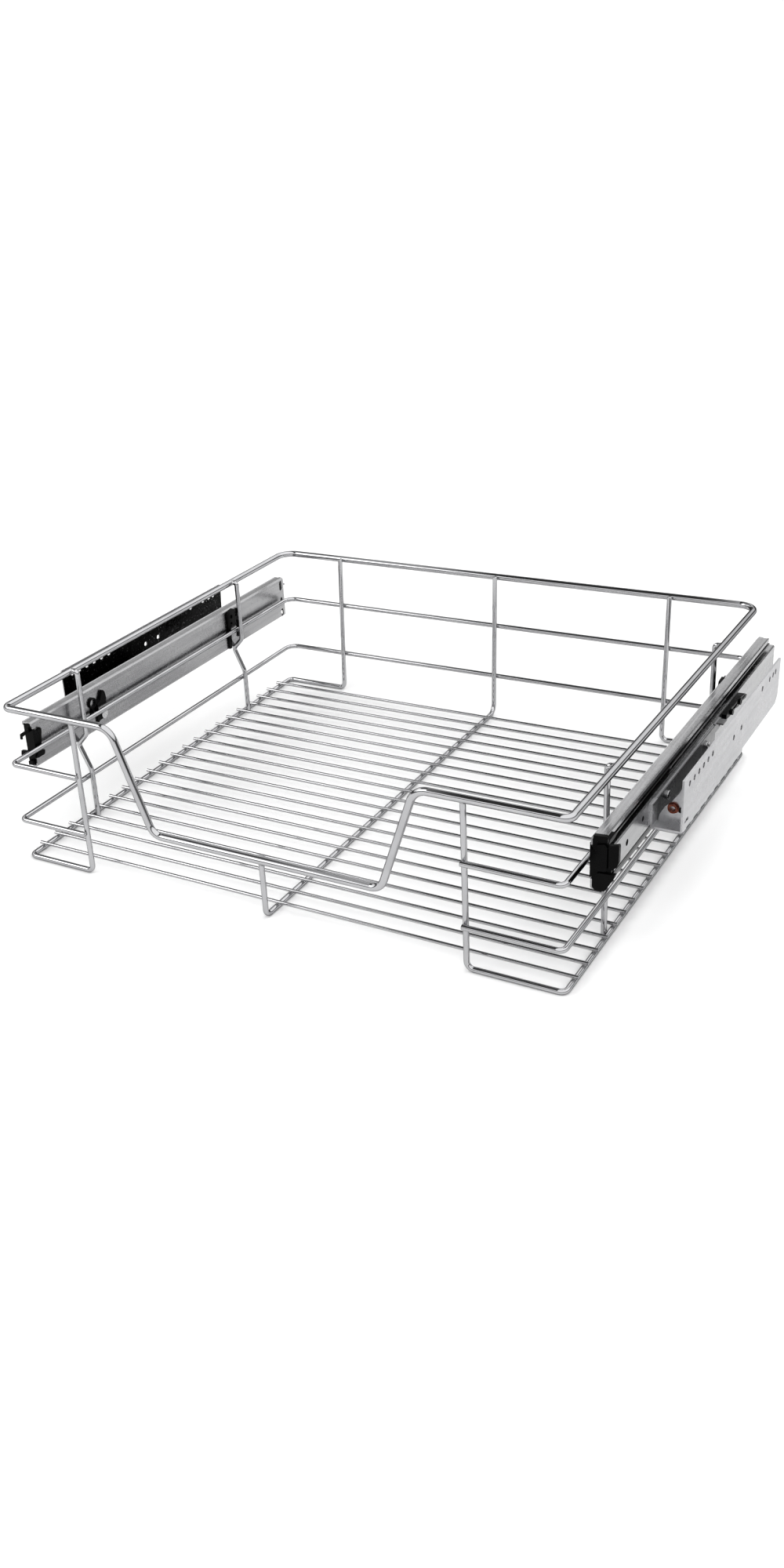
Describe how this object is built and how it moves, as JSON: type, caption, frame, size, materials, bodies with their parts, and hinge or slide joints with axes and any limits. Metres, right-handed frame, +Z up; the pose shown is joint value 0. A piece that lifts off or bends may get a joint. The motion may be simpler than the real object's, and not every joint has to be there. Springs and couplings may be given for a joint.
{
  "type": "pull-out cabinet basket",
  "caption": "Chromed wire pull-out basket with a low front opening, hung between two full-extension ball slides with brackets that screw to a cabinet's sides.",
  "frame": {"origin": "middle of the width and depth, level with the underside of the basket's lengthwise floor wires", "axes": "+X to the right seen from the front, +Y into the cabinet, +Z up; the basket opens along -Y"},
  "size_m": [0.564, 0.4448, 0.1408],
  "materials": {
    "chrome_wire": "polished chrome plate",
    "zinc_slide": "bright zinc-plated rolled steel",
    "zinc_bracket": "bright zinc-plated sheet steel",
    "ball_steel": "polished",
    "cage_steel": "satin",
    "brass_bush": "copper-coloured, satin",
    "pin_black": "blackened steel",
    "black_plastic": "moulded, semi-matt"
  },
  "bodies": {
    "cabinet_side": {"cabinet_bracket_left": "zinc_bracket", "cabinet_bracket_right": "zinc_bracket", "cabinet_member_left": "zinc_slide", "cabinet_member_right": "zinc_slide", "bracket_rivets_left": "zinc_slide", "bracket_rivets_right": "zinc_slide", "bracket_pin_left": "pin_black", "bracket_pin_right": "pin_black", "bracket_bush_left": "brass_bush", "bracket_bush_right": "brass_bush", "bracket_stop_left": "black_plastic", "bracket_stop_right": "black_plastic", "stop_plate_left": "zinc_bracket", "stop_plate_right": "zinc_bracket"},
    "basket": {"top_rim": "chrome_wire", "upper_side_ring": "chrome_wire", "lower_side_ring": "chrome_wire", "left_frame_wire": "chrome_wire", "right_frame_wire": "chrome_wire", "centre_frame_wire": "chrome_wire", "floor_cross_wires": "chrome_wire", "hanger_wire_front_left": "chrome_wire", "hanger_wire_front_right": "chrome_wire", "hanger_wire_back_left": "chrome_wire", "hanger_wire_back_right": "chrome_wire", "basket_channel_left": "zinc_slide", "basket_channel_right": "zinc_slide", "front_cap_left": "black_plastic", "front_cap_right": "black_plastic", "latch_front_left": "black_plastic", "latch_front_right": "black_plastic", "latch_back_left": "black_plastic", "latch_back_right": "black_plastic", "latch_rivets_left": "zinc_slide", "latch_rivets_right": "zinc_slide"},
    "middle_slide_member_left": {"middle_member_left": "zinc_slide"},
    "inner_cage_left": {"inner_ball_cage_left": "cage_steel", "inner_balls_left": "ball_steel"},
    "outer_cage_left": {"outer_ball_cage_left": "cage_steel", "outer_balls_left": "ball_steel"},
    "middle_slide_member_right": {"middle_member_right": "zinc_slide"},
    "inner_cage_right": {"inner_ball_cage_right": "cage_steel", "inner_balls_right": "ball_steel"},
    "outer_cage_right": {"outer_ball_cage_right": "cage_steel", "outer_balls_right": "ball_steel"}
  },
  "joints": [
    {"name": "basket_slide", "type": "slide", "parent": "cabinet_side", "child": "basket", "axis": [0, -1, 0], "range_m": [0, 0.38]},
    {"name": "middle_slide_left", "type": "slide", "parent": "cabinet_side", "child": "middle_slide_member_left", "axis": [0, -1, 0], "range_m": [0, 0.19]},
    {"name": "inner_cage_slide_left", "type": "slide", "parent": "cabinet_side", "child": "inner_cage_left", "axis": [0, -1, 0], "range_m": [0, 0.095]},
    {"name": "outer_cage_slide_left", "type": "slide", "parent": "cabinet_side", "child": "outer_cage_left", "axis": [0, -1, 0], "range_m": [0, 0.285]},
    {"name": "middle_slide_right", "type": "slide", "parent": "cabinet_side", "child": "middle_slide_member_right", "axis": [0, -1, 0], "range_m": [0, 0.19]},
    {"name": "inner_cage_slide_right", "type": "slide", "parent": "cabinet_side", "child": "inner_cage_right", "axis": [0, -1, 0], "range_m": [0, 0.095]},
    {"name": "outer_cage_slide_right", "type": "slide", "parent": "cabinet_side", "child": "outer_cage_right", "axis": [0, -1, 0], "range_m": [0, 0.285]}
  ],
  "couplings": [
    {"joint": "middle_slide_left", "follows": "basket_slide", "ratio": 0.5},
    {"joint": "inner_cage_slide_left", "follows": "basket_slide", "ratio": 0.25},
    {"joint": "outer_cage_slide_left", "follows": "basket_slide", "ratio": 0.75},
    {"joint": "middle_slide_right", "follows": "basket_slide", "ratio": 0.5},
    {"joint": "inner_cage_slide_right", "follows": "basket_slide", "ratio": 0.25},
    {"joint": "outer_cage_slide_right", "follows": "basket_slide", "ratio": 0.75}
  ]
}
